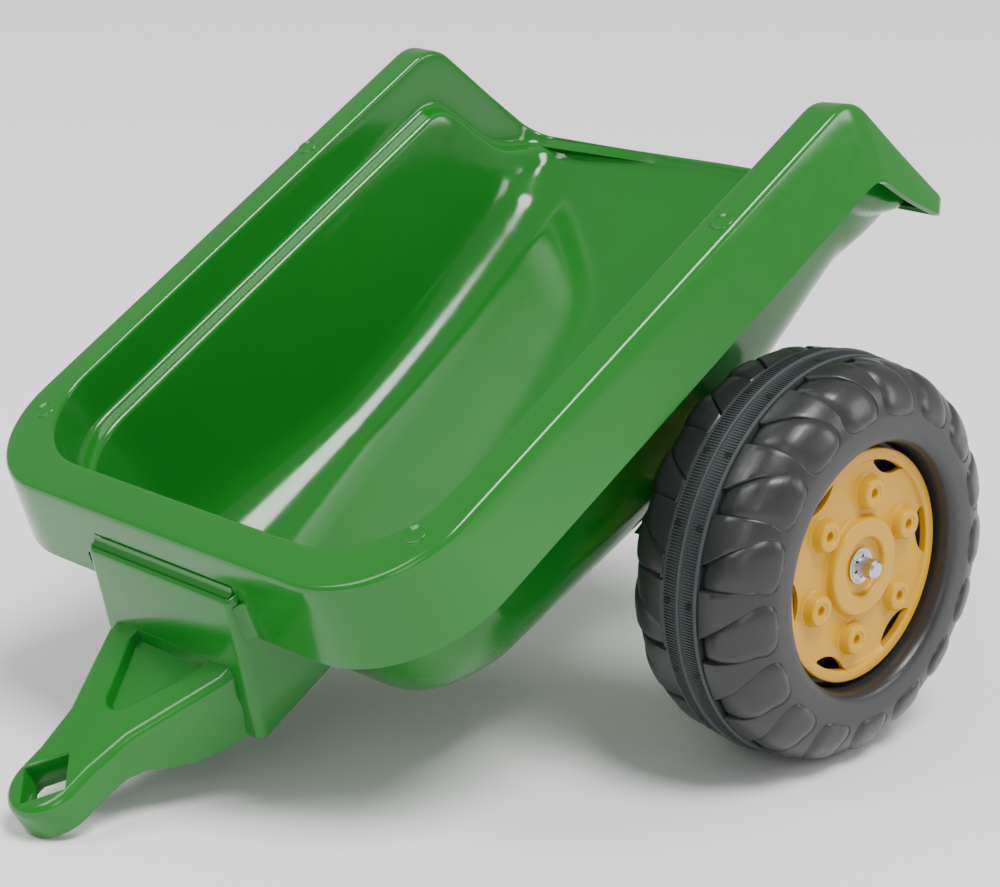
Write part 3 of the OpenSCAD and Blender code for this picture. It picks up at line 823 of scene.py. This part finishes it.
def push_washer(side, out):
    """A dished push-on washer, with teeth that bite on the axle."""
    low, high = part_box("push_washer_" + side)
    centre = axle_centre()
    x0, x1, r = (low.x - centre.x) / MM, (high.x - centre.x) / MM, (high.z - low.z) / 2 / MM
    inner, outer = (x0, x1) if out > 0 else (x1, x0)
    turns, rows = 96, [(0.0, r - 0.5), (0.35, r - 0.05), (0.75, r - 0.05), (1.0, r - 0.9), (0.55, r - 2.2),
                       (1.0, 5.6), (1.0, 5.05), (0.6, 5.05), (0.05, r - 2.6)]
    verts = []
    for t, radius in rows:
        for i in range(turns):
            # Six notches in the inner edge leave the teeth between them
            reach = radius + (1.1 if radius < 5.7 and (i % 16) < 4 else 0.0)
            a = 2 * math.pi * i / turns
            verts.append((inner + (outer - inner) * t, reach * math.sin(a), reach * math.cos(a)))
    return mesh_from("washer", verts, ring_faces(len(rows), turns, True), face_out=True)


class TRAILER_OT_axle(bpy.types.Operator):
    """Builds the axle with its spacers, bushes and washers"""

    bl_idname = "trailer.axle"
    bl_label = "Build axle and washers"

    def execute(self, context):
        p = context.scene.trailer_metal
        place = Matrix.Translation(axle_centre()) @ Matrix.Scale(MM, 4)
        low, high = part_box("axle")
        half, r = (high.x - low.x) / 2 / MM, (high.z - low.z) / 2 / MM
        c = p.chamfer
        # Zinc-plated bar: bright and cool, with fine turning rings and a soft cloudy plate
        bar = surface("zinc-plated turned steel bar", p.steel_colour, 0.27, metal=1.0, shade=0.10, shade_size=350,
                      grain_size=900, grain=0.08, wear_size=500, wear=0.10, rings=900)
        # Zinc-plated spring steel: the same plate on stamped sheet, a little duller, with no rings
        sheet = surface("zinc-plated stamped spring steel", p.steel_colour, 0.32, metal=1.0, shade=0.14,
                        shade_size=500, grain_size=1100, grain=0.10, wear_size=600, wear=0.12)
        # Extruded tube: dull black with long faint drawing lines along the axle
        tube_look = surface("black extruded plastic tube", linear("#1D1D1E"), 0.45, shade=0.10, shade_size=60,
                            grain_size=500, grain=0.08, stretch=(0.1, 1, 1))
        # Nylon bush: milky off-white with a waxy, soft shine
        bush_look = surface("natural moulded nylon", linear("#DAD7CB"), 0.42, shade=0.05, shade_size=80,
                            grain_size=600, grain=0.05)
        rod = revolved("axle", [(-half, r - c), (-half + c * 0.9, r), (half - c * 0.9, r), (half, r - c)], 72, False)
        rod.transform(place)
        finished("axle_bar", rod, "chassis", "axle", [bar])
        for side, out in SIDES:
            for part, chamfer, look, slot_name, body in (
                    ("axle_spacer", 0.6, tube_look, "black_plastic", "chassis"),
                    ("thrust_washer", 0.25, sheet, "zinc_steel", "chassis"),
                    ("hub_bush", 0.5, bush_look, "bush_plastic", "wheel_" + side)):
                mesh = tube(f"{part}_{side}", chamfer)
                mesh.transform(place)
                finished(f"{part}_{side}_turned", mesh, body, f"{part}_{side}", [look])
            mesh = push_washer(side, out)
            mesh.transform(place)
            finished(f"push_washer_{side}_pressed", mesh, "chassis", "push_washer_" + side, [sheet])
        return {"FINISHED"}


# ---------------------------------------------------------------- stage


FLOOR_HALF = 15.0
# Each lamp's name, place and width in metres, and power in watts. All look at AIM.
LAMPS = (("key", (-0.9, -1.5, 2.4), 1.2, 30.0),
         ("fill", (1.8, -2.2, 1.4), 1.2, 12.0),
         ("back", (1.9, 1.6, 1.0), 0.8, 14.0))
AIM = (0, 0, 0.15)
# The camera stands in front of the right-hand side, a little above the rim, and looks back and down.
# Its turn, its dip and its roll are in degrees, and its lens in mm on a 36 mm wide picture.
CAMERA_PLACE, CAMERA_TURN, CAMERA_DIP, CAMERA_ROLL = (0.8946, -0.8101, 0.5028), 45.486, 16.596, -0.168
CAMERA_LENS, PICTURE_WIDTH = 85.64, 36


def shown(context, name, data, where):
    """A lamp or camera added to the scene."""
    obj = bpy.data.objects.new(name, data)
    obj.matrix_world = where
    context.scene.collection.objects.link(obj)
    return obj


def camera_pose():
    """Where the camera stands and how it is turned."""
    turn, dip, roll = (math.radians(a) for a in (CAMERA_TURN, CAMERA_DIP, CAMERA_ROLL))
    ahead = Vector((-math.sin(turn) * math.cos(dip), math.cos(turn) * math.cos(dip), -math.sin(dip)))
    level = Vector((math.cos(turn), math.sin(turn), 0))
    right = level * math.cos(roll) + level.cross(ahead) * math.sin(roll)
    return Matrix.Translation(CAMERA_PLACE) @ Matrix((right, right.cross(ahead), -ahead)).transposed().to_4x4()


class TRAILER_OT_stage(bpy.types.Operator):
    """Sets the pale floor, the soft lights and the camera"""

    bl_idname = "trailer.stage"
    bl_label = "Set floor, lights and camera"

    def execute(self, context):
        p = context.scene.trailer_stage
        far = FLOOR_HALF
        corners = [(-far, -far, 0), (far, -far, 0), (far, far, 0), (-far, far, 0)]
        floor = placed("floor", mesh_from("floor", corners, [[0, 1, 2, 3]]))
        floor.data.materials.append(surface("matte white studio floor", p.floor_colour, 0.7, shade=0.01))
        world = bpy.data.worlds.new("studio")
        world.use_nodes = True
        world.node_tree.nodes["Background"].inputs["Color"].default_value = linear("#FFFFFF")
        world.node_tree.nodes["Background"].inputs["Strength"].default_value = 0.5
        context.scene.world = world
        for name, where, wide, power in LAMPS:
            lamp = bpy.data.lights.new(name, "AREA")
            lamp.size, lamp.energy = wide, power * p.light
            turned = (Vector(AIM) - Vector(where)).to_track_quat("-Z", "Y").to_matrix().to_4x4()
            shown(context, name, lamp, Matrix.Translation(where) @ turned)
        # A wide soft sun from above evens out the light, as a white room does
        sun = bpy.data.lights.new("sky", "SUN")
        sun.energy, sun.angle = 3.0 * p.light, math.radians(24)
        shown(context, "sky", sun, Matrix.Rotation(math.radians(25), 4, "Y"))
        camera = bpy.data.cameras.new("camera")
        camera.sensor_width, camera.lens, camera.clip_start = PICTURE_WIDTH, CAMERA_LENS, 0.05
        context.scene.camera = shown(context, "camera", camera, camera_pose())
        return {"FINISHED"}


class TRAILER_PT_panel(bpy.types.Panel):
    """Lists the trailer's pieces with their sizes and colours"""

    bl_label = "Pedal Tractor Trailer"
    bl_idname = "TRAILER_PT_panel"
    bl_space_type = "VIEW_3D"
    bl_region_type = "UI"
    bl_category = "Trailer"

    def draw(self, context):
        scene = context.scene
        for group, steps in ((scene.trailer_tub, ("tub",)), (scene.trailer_wheel, ("tyres", "bands", "discs")),
                             (scene.trailer_metal, ("axle",)), (scene.trailer_stage, ("stage",))):
            box = self.layout.box()
            for key in group.__annotations__:
                box.prop(group, key)
            for step in steps:
                box.operator("trailer." + step)


CLASSES = (TrailerTub, TrailerWheel, TrailerMetal, TrailerStage, TRAILER_OT_tub, TRAILER_OT_tyres,
           TRAILER_OT_bands, TRAILER_OT_discs, TRAILER_OT_axle, TRAILER_OT_stage, TRAILER_PT_panel)


def register():
    for item in CLASSES:
        bpy.utils.register_class(item)
    bpy.types.Scene.trailer_tub = bpy.props.PointerProperty(type=TrailerTub)
    bpy.types.Scene.trailer_wheel = bpy.props.PointerProperty(type=TrailerWheel)
    bpy.types.Scene.trailer_metal = bpy.props.PointerProperty(type=TrailerMetal)
    bpy.types.Scene.trailer_stage = bpy.props.PointerProperty(type=TrailerStage)


def unregister():
    for name in ("trailer_tub", "trailer_wheel", "trailer_metal", "trailer_stage"):
        delattr(bpy.types.Scene, name)
    for item in reversed(CLASSES):
        bpy.utils.unregister_class(item)


def main():
    register()
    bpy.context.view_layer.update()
    for step in (bpy.ops.trailer.tub, bpy.ops.trailer.tyres, bpy.ops.trailer.bands, bpy.ops.trailer.discs,
                 bpy.ops.trailer.axle, bpy.ops.trailer.stage):
        if step() != {"FINISHED"}:
            raise RuntimeError("a step of the build failed")


if __name__ == "__main__":
    main()
